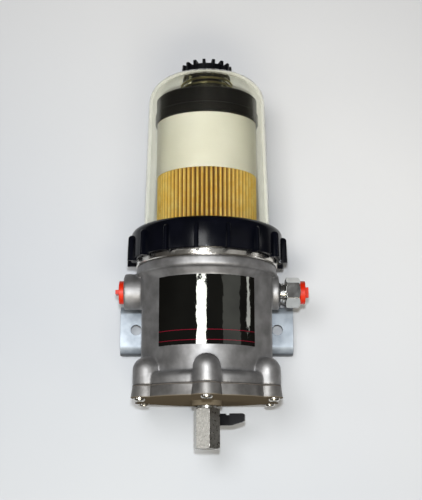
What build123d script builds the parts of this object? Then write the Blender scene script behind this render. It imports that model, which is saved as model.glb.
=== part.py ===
from build123d import *
import os
from math import atan2, cos, degrees, hypot, pi, radians, sin, sqrt

# Fuel filter housing with a clear cover, a replaceable pleated element and a drain valve.
# Millimetres, +Z up along the housing axis as it is mounted, -Y towards the viewer.
# The origin is the middle of the two mounting holes, on the back face of the bracket plate.

# Play between pieces
run_gap = 0.4
seal_gap = 0.3
seal_play = 0.02
shank_play = 0.02
hole_play = 0.2

# Mounting bracket: a steel channel, open towards the wall
plate_t = 3.0
mount_spacing = 142.0
mount_hole_d = 10.5
bracket_end = 16.0
bracket_bend_r = 9.0
bracket_depth = 20.0
bracket_corner_r = 5.0
bracket_margin_z = 1.0
pad_bolt_dx = 44.0
pad_bolt_dz = 15.0
pad_margin_x = 11.0
pad_margin_z = 7.0
pad_edge_r = 4.0
bolt_d = 6.0
bolt_grip = 12.0
bolt_head_af = 10.0
bolt_head_h = 4.0
washer_t = 1.2
washer_r = 6.0

# Housing casting, whose wall radius sets those of the cover, the rim, the collar and the element
wall_r = 57.0
wall_t = 5.0
foot_drop = 64.6
wall_top_z = 34.5
flange_w = 9.5
flange_h = 11.1
flange_edge_r = 5.0
ring_slope_h = 6.0
ring_h = 9.5
ring_edge = 1.5
ring_out = 0.5
band_out = 1.3
band_h = 5.0
band_edge = 0.8
neck_h = 19.0
neck_pitch = 6.0
neck_thread_depth = 0.8
neck_groove_h = 3.0
rim_play = 0.6
mouth_play = 0.1
mouth_h = 8.0
ring_slope_w = 5.5
side_out = 3.8
side_root_angle = 45.5
side_sink = 0.5
side_half_w = 20.0
side_corner_r = 9.0
plate_stand = 5.0
cut_over = 1.0

# Clear cover
cover_draft = 3.9
cover_wall = 3.2
cover_corner_r = 24.4
cover_crown_r = 128.4
cover_flange_t = 5.0
cover_flange_w = 4.5
dome_clear = 27.0
land_drop = 0.6
land_w = 7.5
vent_bore_r = 16.0
neck_boss_wall = 6.3
neck_boss_h = 15.6

# Six screw bosses around the base
boss_count = 6
boss_in = 3.0
boss_r = 12.4
boss_h = 26.3
boss_blend_r = 3.0
screw_out = 6.5

# Ports on the left and right
port_boss_r = 16.2
port_z = 26.8
outlet_stand = 21.4
inlet_stand = 11.4
outlet_bore_r = 8.0
outlet_thread_r = 10.2
outlet_thread_len = 16.0
lug_r = 5.7
lug_inset = 0.2
lug_rise = 17.3

# Centre post and standpipe inside
post_r = 15.0
post_drop = 26.0
post_tail = 14.8
arm_r = 12.5
standpipe_r = 11.0
standpipe_bore_r = 8.0
standpipe_step = 1.0
standpipe_len = 102.0
standpipe_seat_depth = 14.0

# Bottom cover under the parting line
gasket_t = 0.8
cover_plate_h = 10.3
plate_draft = 8.0
sump_wall = 4.0
sump_margin = 3.0
sump_draft = 20.0
drain_boss_r = 14.5
drain_boss_h = 4.5
screw_d = 6.0
screw_head_d = 10.6
screw_head_h = 3.2
screw_round = 2.2
screw_grip = 12.0
screw_hex_af = 5.0
screw_hex_depth = 1.9

# Collar
collar_wall = 6.0
collar_web = 6.0
collar_edge_r = 7.0
collar_low = 0.7
collar_rib_count = 16
collar_rib_phase = -7.3
collar_rib_out = 4.1
collar_rib_draft = 0.8
collar_rib_w = 3.6
collar_rib_h = 24.0
collar_rib_low = 1.7
collar_rib_edge = 1.6
collar_rib_root = 2.0
wall_gap_w = 2.4

# Cover seal in the rim of the neck
cover_seal_d = 3.4

# Vent cap
cap_disc_out = 6.6
cap_disc_t = 7.0
cap_fin_count = 16
cap_fin_phase = -6.5
cap_fin_out = 8.8
cap_fin_slope = 8.0
cap_fin_tip = 1.8
cap_fin_w = 3.0
cap_fin_rise = 3.4
vent_thread_len = 12.0
vent_pitch = 3.0
vent_thread_depth = 0.9
vent_groove_h = 1.8
vent_seal_d = 2.4

# Filter element
element_sink = 18.0
element_len = 161.6
element_gap = 3.3
cap_band_out = 1.1
cap_band_drop = 16.0
cap_band_h = 10.0
cap_band_edge = 0.8
cap_top_drop = 9.6
cap_edge = 2.0
cap_ring_t = 2.0
cap_ring_h = 3.0
cap_ring_play = 0.6
media_in = 2.3
pleat_count = 68
pleat_fold = 8.2
pleat_play = 0.2
label_h = 53.9
label_t = 0.4
label_play = 0.3
centre_tube_room = 7.0
centre_tube_play = 0.8
centre_tube_wall = 1.2
tube_hole_r = 3.0
tube_hole_rows = 6
tube_hole_cols = 8
bottom_cap_t = 3.0
bottom_cap_skirt = 5.0
grommet_wall = 5.0
grommet_lip = 2.0
grommet_h = 7.0

# Filter spring
spring_wire = 2.6
spring_turns = 4.0
spring_play = 1.4
spring_low_gap = 0.05
spring_high_gap = 0.25

# Inlet fitting with its check ball
hex_af = 25.4
hex_chamfer = 0.5
hex_slope = 0.58
fitting_neck_len = 6.2
fitting_hex_len = 14.0
fitting_nipple_len = 11.0
fitting_mouth_r = 8.0
fitting_mouth_len = 9.0
fitting_ring_w = 2.0
fitting_ring_gap = 0.6
fitting_ring_out = 0.9
fitting_seal_t = 1.6
ball_r = 6.0
ball_seat_in = 1.0
ball_back = 2.0
chamber_play = 1.0
neck_wall = 1.4
thread_wall = 2.2
check_wire = 0.8
check_spring_r = 4.2
check_spring_turns = 5.0
check_gap = 0.05
retainer_t = 1.5
retainer_hole_r = 3.2

# Port plugs
plug_flange_r = 11.0
plug_flange_t = 4.7
plug_tab_len = 3.6
plug_tab_w = 10.0
plug_tab_t = 4.0
plug_fit = 0.3
plug_gap = 0.05
plug_stem_len = 8.0
plug_wall = 1.6

# Drain valve
drain_hex_af = 22.2
drain_hex_len = 37.7
drain_hex_chamfer = 0.4
drain_phase = 11.5
drain_neck_r = 8.5
drain_neck_h = 2.2
drain_neck_grip = 4.0
drain_bore_r = 5.0
drain_ball_r = 7.5
drain_roof = 1.3
drain_ball_play = 0.3
drain_thread_r = 6.6
drain_thread_len = 14.0
seat_gap = 0.05
seat_h = 2.9
lever_axis_angle = 161.5
stem_r = 3.0
tang_h = 1.9
tang_play = 0.1
stem_proud = 0.8
lever_hub_r = 6.2
lever_t = 3.2
lever_len = 32.5
lever_above = 4.8
lever_below = 6.2
lever_tip_w = 7.6
lever_tip_r = 2.6
lever_slope_at = 20.0
lever_notch_at = 16.0
lever_notch_w = 3.5
lever_notch_depth = 1.4
lever_nut_af = 8.0
lever_nut_t = 3.0
lever_standoff = 2.0

# Foil label on the front of the casting
foil_half_angle = 49.7
foil_top_gap = 0.5
foil_h = 63.6
foil_t = 0.35

# Places and radii that follow from the sizes above
axis_to_plate = wall_r + plate_stand
axis_y = -(axis_to_plate + plate_t)
cavity_r = wall_r - wall_t
flange_r = wall_r + flange_w
ring_slope_r = wall_r + ring_slope_w
side_x = wall_r + side_out
boss_centre_r = flange_r - boss_in
screw_centre_r = boss_centre_r + screw_out
base_z = -foot_drop
flange_top_z = base_z + flange_h
boss_top_z = base_z + boss_h
ring_bottom_z = wall_top_z + ring_slope_h
ring_top_z = ring_bottom_z + ring_h
band_top_z = ring_top_z + band_h
rim_z = band_top_z + neck_h
cover_base_r = wall_r + cover_draft
cover_flange_r = cover_base_r + cover_flange_w
neck_r = cover_flange_r + rim_play
ring_r = neck_r + ring_out
band_r = neck_r + band_out
mouth_r = cover_base_r - cover_wall + mouth_play
cover_seal_r = (mouth_r + cover_flange_r) / 2
outlet_face_x = -(wall_r + outlet_stand)
inlet_face_x = wall_r + inlet_stand
side_root_x = (wall_r - side_sink) * sin(radians(side_root_angle))
side_root_y = (wall_r - side_sink) * cos(radians(side_root_angle))
foil_low_z = wall_top_z - foil_top_gap - foil_h
screw_hole_r = screw_d / 2 + hole_play
screw_shank_r = screw_d / 2 - shank_play
bolt_hole_r = bolt_d / 2 + hole_play
gasket_z = base_z - gasket_t
underside_z = gasket_z - cover_plate_h
flange_low_z = rim_z + seal_gap
flange_high_z = flange_low_z + cover_flange_t
collar_in_r = neck_r + run_gap
collar_r = collar_in_r + collar_wall
collar_mouth_r = cover_base_r + 2 * run_gap
collar_rib_r = collar_r + collar_rib_out
collar_rib_in_r = collar_in_r + collar_rib_root
collar_bottom_z = band_top_z + collar_low
collar_inner_top_z = flange_high_z + run_gap
collar_top_z = collar_inner_top_z + collar_web
collar_rib_bottom_z = collar_bottom_z - collar_rib_low
collar_rib_top_z = collar_rib_bottom_z + collar_rib_h
element_bottom_z = rim_z - element_sink
element_top_z = element_bottom_z + element_len
cover_shoulder_r = cover_base_r - cover_draft
cap_band_r = cover_shoulder_r - cover_wall - element_gap
cap_skirt_r = cap_band_r - cap_band_out
cap_band_high_z = element_top_z - cap_band_drop
cap_band_low_z = cap_band_high_z - cap_band_h
media_r = cap_band_r - media_in
centre_tube_r = standpipe_r + centre_tube_room
media_valley_r = centre_tube_r + centre_tube_play + pleat_fold
media_low_z = element_bottom_z + bottom_cap_t
media_top_z = element_top_z - cap_top_drop
label_r = media_r + label_t
label_high_z = cap_band_low_z - label_play
skirt_in = label_r + pleat_play
grommet_r = standpipe_r + grommet_wall
post_top_z = rim_z - post_drop
post_bottom_z = port_z - post_tail
standpipe_root_r = standpipe_r - standpipe_step
standpipe_top_z = post_top_z + standpipe_len
crown_z = element_top_z + dome_clear
land_z = crown_z - land_drop
land_r = vent_bore_r + land_w
neck_boss_r = vent_bore_r + neck_boss_wall
neck_boss_bottom_z = crown_z - neck_boss_h
cap_base_z = land_z + seal_gap
cap_disc_r = vent_bore_r + cap_disc_out
cap_disc_top_z = cap_base_z + cap_disc_t
cap_fin_r = vent_bore_r + cap_fin_out
cap_fin_in_r = cap_fin_r - cap_fin_slope - cap_fin_tip
vent_stem_r = vent_bore_r - run_gap
vent_seal_r = (vent_bore_r + land_r) / 2
spring_r = neck_boss_r + spring_wire / 2 + spring_play
spring_out_r = spring_r + spring_wire / 2
cap_ring_r = spring_r - spring_wire / 2 - cap_ring_play
chamber_r = ball_r + chamber_play
inlet_thread_r = chamber_r + thread_wall
fitting_neck_r = chamber_r + neck_wall
fitting_ring_r = fitting_neck_r + fitting_ring_out
fitting_bore_r = ball_r - ball_seat_in
hex_x = inlet_face_x + fitting_neck_len
fitting_end_x = hex_x + fitting_hex_len
nipple_x = inlet_face_x - fitting_nipple_len
ball_x = hex_x - ball_back
seat_x = ball_x + sqrt(ball_r ** 2 - fitting_bore_r ** 2)
drain_boss_z = underside_z - drain_boss_h
drain_top_z = drain_boss_z - drain_neck_h
drain_bottom_z = drain_top_z - drain_hex_len
drain_room_r = drain_ball_r + drain_ball_play
drain_stem_z = drain_top_z - drain_roof - drain_room_r
hex_flat = drain_hex_af / 2
lever_base = hex_flat + lever_standoff
stem_end = lever_base + lever_t + lever_nut_t + stem_proud
tang_base = drain_ball_r - tang_h
pad_w = pad_bolt_dx + 2 * pad_margin_x
pad_h = pad_bolt_dz + 2 * pad_margin_z
bracket_flat_h = pad_h + 2 * bracket_margin_z
bracket_len = mount_spacing + 2 * bracket_end


def level(z):
    """Horizontal plane at height z with its origin on the housing axis."""
    return Plane(origin=(0, axis_y, z), x_dir=(1, 0, 0), z_dir=(0, 0, 1))


def spoke(angle, z=0.0):
    """Upright plane through the housing axis: x runs outwards at angle from the front, y runs up."""
    a = radians(angle)
    return Plane(origin=(0, axis_y, z), x_dir=(sin(a), -cos(a), 0), z_dir=(-cos(a), -sin(a), 0))


def outward(angle, z, distance):
    """Upright plane square to the direction at angle, its normal pointing away from the axis."""
    a = radians(angle)
    d = (sin(a), -cos(a), 0)
    return Plane(origin=(d[0] * distance, axis_y + d[1] * distance, z), x_dir=(0, 0, 1), z_dir=d)


def across(x, z):
    """Upright plane square to X at x, centred on the housing axis at height z."""
    return Plane(origin=(x, axis_y, z), x_dir=(0, 1, 0), z_dir=(1, 0, 0))


def polar(angle):
    """Angle from the front turned into a polar angle of a horizontal plane."""
    return angle - 90.0


def ring_heights(first, last, pitch):
    """Heights of thread grooves, one each pitch, going down from first and ending above last."""
    return [first - k * pitch for k in range(int((first - last) / pitch + 0.5))]


def is_inner_corner(vertex):
    """True where a boss leaves the flange's round outline; the seam on +X is no corner."""
    return abs(hypot(vertex.X, vertex.Y) - flange_r) < 0.01 and abs(vertex.Y) > 0.01


def is_outer_corner(vertex):
    """True at the corners of a flank that lie farthest out."""
    return abs(abs(vertex.X) - side_x) < 0.01


section = spoke(90)
housing_axis = Axis((0, axis_y, 0), (0, 0, 1))
port_axis = Axis((0, axis_y, port_z), (1, 0, 0))


os.makedirs("parts", exist_ok=True)

boss_angles = [k * 360.0 / boss_count for k in range(boss_count)]

# The dome: a corner arc that runs into a flatter crown
crown_c = crown_z - cover_crown_r
corner_x = cover_shoulder_r - cover_corner_r
corner_z = crown_c + sqrt((cover_crown_r - cover_corner_r) ** 2 - corner_x ** 2)
dome_split = degrees(atan2(corner_z - crown_c, corner_x))


def crown_height(radius, inset):
    """Height of the crown at a radius, inset mm under its outer surface."""
    return crown_c + sqrt((cover_crown_r - inset) ** 2 - radius ** 2)


def dome_outline(inset, low_z, low_r):
    """Closed half section of the cover's shape, inset mm from its outside, down to low_z."""
    Line((0, low_z), (low_r - inset, low_z))
    Line((low_r - inset, low_z), (cover_shoulder_r - inset, corner_z))
    CenterArc((corner_x, corner_z), cover_corner_r - inset, 0, dome_split)
    CenterArc((0, crown_c), cover_crown_r - inset, dome_split, 90 - dome_split)
    Line((0, crown_z - inset), (0, low_z))


# Housing casting

with BuildPart() as housing_body:
    with BuildSketch(section):
        with BuildLine():
            Polyline(
                (0, base_z),
                (flange_r, base_z),
                (flange_r, flange_top_z - flange_edge_r),
            )
            CenterArc((flange_r - flange_edge_r, flange_top_z - flange_edge_r), flange_edge_r, 0, 90)
            Polyline(
                (flange_r - flange_edge_r, flange_top_z),
                (wall_r, flange_top_z),
                (wall_r, wall_top_z),
                (ring_slope_r, ring_bottom_z),
                (ring_r - ring_edge, ring_bottom_z),
                (ring_r, ring_bottom_z + ring_edge),
                (ring_r, ring_top_z),
                (band_r, ring_top_z + band_edge),
                (band_r, band_top_z),
                (neck_r, band_top_z),
                (neck_r, rim_z),
                (0, rim_z),
                (0, base_z),
            )
        make_face()
    revolve(axis=housing_axis)
    # Round bosses for the base screws, each closed by a dome
    with BuildSketch(level(base_z)):
        with PolarLocations(boss_centre_r, boss_count, start_angle=polar(0)):
            Circle(boss_r)
    extrude(amount=boss_top_z - boss_r - base_z)
    with BuildSketch(level(base_z)) as foot_outline:
        Circle(flange_r)
        with PolarLocations(boss_centre_r, boss_count, start_angle=polar(0)):
            Circle(boss_r)
        fillet(foot_outline.vertices().filter_by(is_inner_corner), radius=boss_blend_r)
    extrude(amount=flange_top_z - flange_edge_r - base_z)
    for angle in boss_angles:
        a = radians(angle)
        with Locations((boss_centre_r * sin(a), axis_y - boss_centre_r * cos(a), boss_top_z - boss_r)):
            Sphere(boss_r)
    # Flat flanks on both sides, from the bosses to the upper ring
    with BuildSketch(level(base_z)) as flank_outline:
        with BuildLine():
            Polyline(
                (-side_root_x, -side_root_y),
                (-side_x, -side_half_w),
                (-side_x, side_half_w),
                (-side_root_x, side_root_y),
                (side_root_x, side_root_y),
                (side_x, side_half_w),
                (side_x, -side_half_w),
                (side_root_x, -side_root_y),
                close=True,
            )
        make_face()
        fillet(flank_outline.vertices().filter_by(is_outer_corner), radius=side_corner_r)
    extrude(amount=ring_bottom_z + ring_edge - base_z)
    # Pad for the bracket at the back
    with BuildSketch(Plane.XZ.offset(plate_t)):
        RectangleRounded(pad_w, pad_h, pad_edge_r)
    extrude(amount=axis_to_plate - cavity_r + 2 * wall_t)
    # Port bosses
    with BuildSketch(across(outlet_face_x, port_z)):
        Circle(port_boss_r)
    extrude(amount=-outlet_face_x - cavity_r / 2)
    with BuildSketch(across(cavity_r / 2, port_z)):
        Circle(port_boss_r)
    extrude(amount=inlet_face_x - cavity_r / 2)
    with BuildSketch(level(port_z)):
        with Locations((outlet_face_x + lug_r + lug_inset, 0)):
            Circle(lug_r)
    extrude(amount=lug_rise)
    # Open inside, from the rim to the base
    with BuildSketch(section):
        with BuildLine():
            Polyline(
                (0, base_z),
                (cavity_r, base_z),
                (cavity_r, rim_z - 2 * mouth_h),
                (mouth_r, rim_z - mouth_h),
                (mouth_r, rim_z),
                (0, rim_z),
                (0, base_z),
            )
        make_face()
    revolve(axis=housing_axis, mode=Mode.SUBTRACT)
    # Centre post and the arm that carries its passage to the outlet
    with BuildSketch(level(post_bottom_z)):
        Circle(post_r)
    extrude(amount=post_top_z - post_bottom_z)
    with BuildSketch(across(-(cavity_r + wall_t / 2), port_z)):
        Circle(arm_r)
    extrude(amount=cavity_r + wall_t / 2)
    # Outlet passage, its port thread and the seat of the standpipe
    with BuildSketch(across(outlet_face_x, port_z)):
        Circle(outlet_thread_r)
    extrude(amount=outlet_thread_len, mode=Mode.SUBTRACT)
    with BuildSketch(across(outlet_face_x, port_z)):
        Circle(outlet_bore_r)
    extrude(amount=-outlet_face_x + standpipe_bore_r * 0.75, mode=Mode.SUBTRACT)
    with BuildSketch(level(port_z)):
        Circle(standpipe_bore_r)
    extrude(amount=post_top_z - port_z, mode=Mode.SUBTRACT)
    with BuildSketch(level(post_top_z)):
        Circle(standpipe_root_r)
    extrude(amount=-standpipe_seat_depth, mode=Mode.SUBTRACT)
    # Inlet thread, open into the cavity
    with BuildSketch(across(cavity_r - 2 * wall_t, port_z)):
        Circle(inlet_thread_r)
    extrude(amount=inlet_face_x - cavity_r + 2 * wall_t, mode=Mode.SUBTRACT)
    # Groove for the cover seal in the rim
    with BuildSketch(level(rim_z)):
        Circle(cover_seal_r + cover_seal_d / 2)
        Circle(cover_seal_r - cover_seal_d / 2, mode=Mode.SUBTRACT)
    extrude(amount=-(cover_seal_d - seal_gap), mode=Mode.SUBTRACT)
    # Tapped holes for the base screws and the bracket bolts
    with BuildSketch(level(base_z)):
        with PolarLocations(screw_centre_r, boss_count, start_angle=polar(0)):
            Circle(screw_d / 2)
    extrude(amount=screw_grip + 2, mode=Mode.SUBTRACT)
    with BuildSketch(Plane.XZ.offset(plate_t)):
        with GridLocations(pad_bolt_dx, pad_bolt_dz, 2, 2):
            Circle(bolt_d / 2)
    extrude(amount=bolt_grip, mode=Mode.SUBTRACT)
    # Thread of the neck, drawn as turned grooves
    for z in ring_heights(rim_z - neck_pitch / 2, band_top_z, neck_pitch):
        with BuildSketch(section):
            Polygon(
                (neck_r + cut_over, z - neck_groove_h / 2),
                (neck_r + cut_over, z + neck_groove_h / 2),
                (neck_r - neck_thread_depth, z + neck_groove_h / 4),
                (neck_r - neck_thread_depth, z - neck_groove_h / 4),
                align=None,
            )
        revolve(axis=housing_axis, mode=Mode.SUBTRACT)
housing_body.part.label = "housing_body"
export_step(housing_body.part, "parts/housing_body.step")

# Foil label, wrapped on the front of the casting between the pillars

with BuildPart() as body_label:
    with BuildSketch(level(foil_low_z)):
        with BuildLine():
            low = polar(-foil_half_angle)
            CenterArc((0, 0), wall_r, low, 2 * foil_half_angle)
            CenterArc((0, 0), wall_r + foil_t, low, 2 * foil_half_angle)
            for side in (-foil_half_angle, foil_half_angle):
                c, s = cos(radians(polar(side))), sin(radians(polar(side)))
                Line((wall_r * c, wall_r * s), ((wall_r + foil_t) * c, (wall_r + foil_t) * s))
        make_face()
    extrude(amount=foil_h)
body_label.part.label = "body_label"
export_step(body_label.part, "parts/body_label.step")

# Cover seal, a ring of round section

with BuildPart() as cover_seal:
    with BuildSketch(section):
        with Locations((cover_seal_r, rim_z + seal_gap - cover_seal_d / 2)):
            Circle(cover_seal_d / 2 - seal_play)
    revolve(axis=housing_axis)
cover_seal.part.label = "cover_seal"
export_step(cover_seal.part, "parts/cover_seal.step")

# Clear cover: flange, tapered wall, dome and the threaded neck for the vent cap

with BuildPart() as clear_cover:
    with BuildSketch(section):
        with BuildLine():
            dome_outline(0, flange_low_z, cover_base_r)
        make_face()
    revolve(axis=housing_axis)
    with BuildSketch(level(flange_low_z)):
        Circle(cover_flange_r)
    extrude(amount=cover_flange_t)
    with BuildSketch(level(land_z - 2 * cover_wall)):
        Circle(land_r)
    extrude(amount=2 * cover_wall)
    with BuildSketch(section):
        with BuildLine():
            dome_outline(cover_wall, flange_low_z, cover_base_r)
        make_face()
    revolve(axis=housing_axis, mode=Mode.SUBTRACT)
    with BuildSketch(level(neck_boss_bottom_z)):
        Circle(neck_boss_r)
    extrude(amount=crown_height(neck_boss_r, cover_wall / 3) - neck_boss_bottom_z)
    with BuildSketch(level(neck_boss_bottom_z)):
        Circle(vent_bore_r)
    extrude(amount=crown_z - neck_boss_bottom_z + cut_over, mode=Mode.SUBTRACT)
    with BuildSketch(level(land_z)):
        Circle(land_r + cover_wall)
    extrude(amount=2, mode=Mode.SUBTRACT)
clear_cover.part.label = "clear_cover"
export_step(clear_cover.part, "parts/clear_cover.step")

# Collar: a ring that screws down on the neck and holds the cover's flange

with BuildPart() as collar:
    with BuildSketch(section):
        with BuildLine():
            edge_c = (collar_r - collar_edge_r, collar_top_z - collar_edge_r)
            Polyline(
                (edge_c[0], collar_top_z),
                (collar_mouth_r, collar_top_z),
                (collar_mouth_r, collar_inner_top_z),
                (collar_in_r, collar_inner_top_z),
                (collar_in_r, collar_bottom_z),
                (collar_r, collar_bottom_z),
                (collar_r, edge_c[1]),
            )
            CenterArc(edge_c, collar_edge_r, 0, 90)
        make_face()
    revolve(axis=housing_axis)
    for k in range(collar_rib_count):
        with BuildSketch(spoke(collar_rib_phase + k * 360.0 / collar_rib_count)):
            Polygon(
                (collar_rib_in_r, collar_rib_bottom_z),
                (collar_rib_r + collar_rib_draft, collar_rib_bottom_z),
                (collar_rib_r, collar_rib_top_z - collar_rib_edge),
                (collar_rib_r - collar_rib_edge, collar_rib_top_z),
                (collar_rib_in_r, collar_rib_top_z),
                align=None,
            )
        extrude(amount=collar_rib_w / 2, both=True)
    with BuildSketch(level(collar_rib_bottom_z)):
        Circle(collar_in_r + wall_gap_w)
    extrude(amount=collar_bottom_z - collar_rib_bottom_z, mode=Mode.SUBTRACT)
collar.part.label = "collar"
export_step(collar.part, "parts/collar.step")

# Vent cap: a finned disc on a threaded stem

with BuildPart() as vent_cap:
    with BuildSketch(section):
        Polygon(
            (0, cap_base_z - vent_thread_len),
            (vent_stem_r, cap_base_z - vent_thread_len),
            (vent_stem_r, cap_base_z),
            (cap_disc_r, cap_base_z),
            (cap_disc_r, cap_disc_top_z),
            (0, cap_disc_top_z),
            align=None,
        )
    revolve(axis=housing_axis)
    for k in range(cap_fin_count):
        with BuildSketch(spoke(cap_fin_phase + k * 360.0 / cap_fin_count)):
            Polygon(
                (cap_fin_in_r, cap_base_z),
                (cap_fin_r, cap_base_z),
                (cap_fin_r, cap_disc_top_z + cap_fin_rise),
                (cap_fin_r - cap_fin_tip, cap_disc_top_z + cap_fin_rise),
                (cap_fin_in_r, cap_disc_top_z),
                align=None,
            )
        extrude(amount=cap_fin_w / 2, both=True)
    with BuildSketch(level(cap_base_z)):
        Circle(vent_seal_r + vent_seal_d / 2)
        Circle(vent_seal_r - vent_seal_d / 2, mode=Mode.SUBTRACT)
    extrude(amount=vent_seal_d - seal_gap, mode=Mode.SUBTRACT)
    for z in ring_heights(cap_base_z - vent_pitch / 2, cap_base_z - vent_thread_len, vent_pitch):
        with BuildSketch(section):
            Polygon(
                (vent_stem_r + cut_over, z + vent_groove_h / 2),
                (vent_stem_r + cut_over, z - vent_groove_h / 2),
                (vent_stem_r - vent_thread_depth, z - vent_groove_h / 4),
                (vent_stem_r - vent_thread_depth, z + vent_groove_h / 4),
                align=None,
            )
        revolve(axis=housing_axis, mode=Mode.SUBTRACT)
vent_cap.part.label = "vent_cap"
export_step(vent_cap.part, "parts/vent_cap.step")

with BuildPart() as vent_cap_seal:
    with BuildSketch(section):
        with Locations((vent_seal_r, land_z + vent_seal_d / 2)):
            Circle(vent_seal_d / 2 - seal_play)
    revolve(axis=housing_axis)
vent_cap_seal.part.label = "vent_cap_seal"
export_step(vent_cap_seal.part, "parts/vent_cap_seal.step")

# Filter spring, held between the element's top and the inside of the dome

with BuildPart() as filter_spring:
    spring_low_z = element_top_z + spring_wire / 2 + spring_low_gap
    spring_high_z = crown_height(spring_out_r, cover_wall) - spring_wire / 2 - spring_high_gap
    spring_h = spring_high_z - spring_low_z
    with BuildLine(level(spring_low_z)) as spring_path:
        Helix(pitch=spring_h / spring_turns, height=spring_h, radius=spring_r)
    with BuildSketch(Plane(origin=spring_path.line @ 0, z_dir=spring_path.line % 0)):
        Circle(spring_wire / 2)
    sweep(path=spring_path.line, is_frenet=True)
filter_spring.part.label = "filter_spring"
export_step(filter_spring.part, "parts/filter_spring.step")

# Filter element

with BuildPart() as filter_top_cap:
    with BuildSketch(section):
        Polygon(
            (0, media_top_z),
            (skirt_in, media_top_z),
            (skirt_in, label_high_z),
            (cap_skirt_r, label_high_z),
            (cap_skirt_r, cap_band_low_z),
            (cap_band_r, cap_band_low_z + cap_band_edge),
            (cap_band_r, cap_band_high_z - cap_band_edge),
            (cap_skirt_r, cap_band_high_z),
            (cap_skirt_r, element_top_z - cap_edge),
            (cap_skirt_r - cap_edge, element_top_z),
            (0, element_top_z),
            align=None,
        )
    revolve(axis=housing_axis)
    # Ring that centres the spring
    with BuildSketch(level(element_top_z)):
        Circle(cap_ring_r)
        Circle(cap_ring_r - cap_ring_t, mode=Mode.SUBTRACT)
    extrude(amount=cap_ring_h)
filter_top_cap.part.label = "filter_top_cap"
export_step(filter_top_cap.part, "parts/filter_top_cap.step")


def star(tip_r, valley_r):
    """Corner points of a pleated ring, tip and valley in turn."""
    points = []
    for k in range(pleat_count):
        for radius, step in ((tip_r, k), (valley_r, k + 0.5)):
            a = 2 * pi * step / pleat_count
            points.append((radius * cos(a), radius * sin(a)))
    return points


with BuildPart() as filter_media:
    with BuildSketch(level(media_low_z)):
        Polygon(*star(media_r, media_valley_r), align=None)
        inner = star(media_r - pleat_fold, media_valley_r - pleat_fold)
        Polygon(*inner, align=None, mode=Mode.SUBTRACT)
    extrude(amount=media_top_z - media_low_z)
filter_media.part.label = "filter_media"
export_step(filter_media.part, "parts/filter_media.step")

with BuildPart() as filter_label:
    with BuildSketch(level(label_high_z)):
        Circle(label_r)
        Circle(media_r, mode=Mode.SUBTRACT)
    extrude(amount=-label_h)
filter_label.part.label = "filter_label"
export_step(filter_label.part, "parts/filter_label.step")

with BuildPart() as filter_centre_tube:
    tube_h = media_top_z - media_low_z
    with BuildSketch(level(media_low_z)):
        Circle(centre_tube_r)
        Circle(centre_tube_r - centre_tube_wall, mode=Mode.SUBTRACT)
    extrude(amount=tube_h)
    for row in range(tube_hole_rows):
        row_z = media_low_z + tube_h * (row + 1) / (tube_hole_rows + 1)
        for col in range(tube_hole_cols):
            with BuildSketch(outward(col * 360.0 / tube_hole_cols, row_z, centre_tube_r / 2)):
                Circle(tube_hole_r)
            extrude(amount=centre_tube_r, mode=Mode.SUBTRACT)
filter_centre_tube.part.label = "filter_centre_tube"
export_step(filter_centre_tube.part, "parts/filter_centre_tube.step")

with BuildPart() as filter_bottom_cap:
    with BuildSketch(section):
        Polygon(
            (grommet_r, element_bottom_z),
            (cap_skirt_r, element_bottom_z),
            (cap_skirt_r, media_low_z + bottom_cap_skirt),
            (skirt_in, media_low_z + bottom_cap_skirt),
            (skirt_in, media_low_z),
            (grommet_r, media_low_z),
            align=None,
        )
    revolve(axis=housing_axis)
filter_bottom_cap.part.label = "filter_bottom_cap"
export_step(filter_bottom_cap.part, "parts/filter_bottom_cap.step")

with BuildPart() as filter_grommet:
    with BuildSketch(level(element_bottom_z - grommet_lip)):
        Circle(grommet_r)
        Circle(standpipe_r, mode=Mode.SUBTRACT)
    extrude(amount=grommet_h)
    with BuildSketch(level(element_bottom_z - grommet_lip)):
        Circle(grommet_r + grommet_lip)
        Circle(standpipe_r, mode=Mode.SUBTRACT)
    extrude(amount=grommet_lip)
filter_grommet.part.label = "filter_grommet"
export_step(filter_grommet.part, "parts/filter_grommet.step")

with BuildPart() as standpipe:
    with BuildSketch(level(post_top_z - standpipe_seat_depth)):
        Circle(standpipe_root_r)
    extrude(amount=standpipe_seat_depth)
    with BuildSketch(level(post_top_z)):
        Circle(standpipe_r)
    extrude(amount=standpipe_top_z - post_top_z)
    with BuildSketch(level(post_top_z - standpipe_seat_depth)):
        Circle(standpipe_bore_r)
    extrude(amount=standpipe_top_z - post_top_z + standpipe_seat_depth, mode=Mode.SUBTRACT)
standpipe.part.label = "standpipe"
export_step(standpipe.part, "parts/standpipe.step")

# Bottom cover, its gasket and its screws

with BuildPart() as bottom_gasket:
    with BuildSketch(level(gasket_z)):
        Circle(flange_r)
        with PolarLocations(boss_centre_r, boss_count, start_angle=polar(0)):
            Circle(boss_r)
        Circle(cavity_r, mode=Mode.SUBTRACT)
        with PolarLocations(screw_centre_r, boss_count, start_angle=polar(0)):
            Circle(screw_hole_r, mode=Mode.SUBTRACT)
    extrude(amount=gasket_t)
bottom_gasket.part.label = "bottom_gasket"
export_step(bottom_gasket.part, "parts/bottom_gasket.step")

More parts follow.
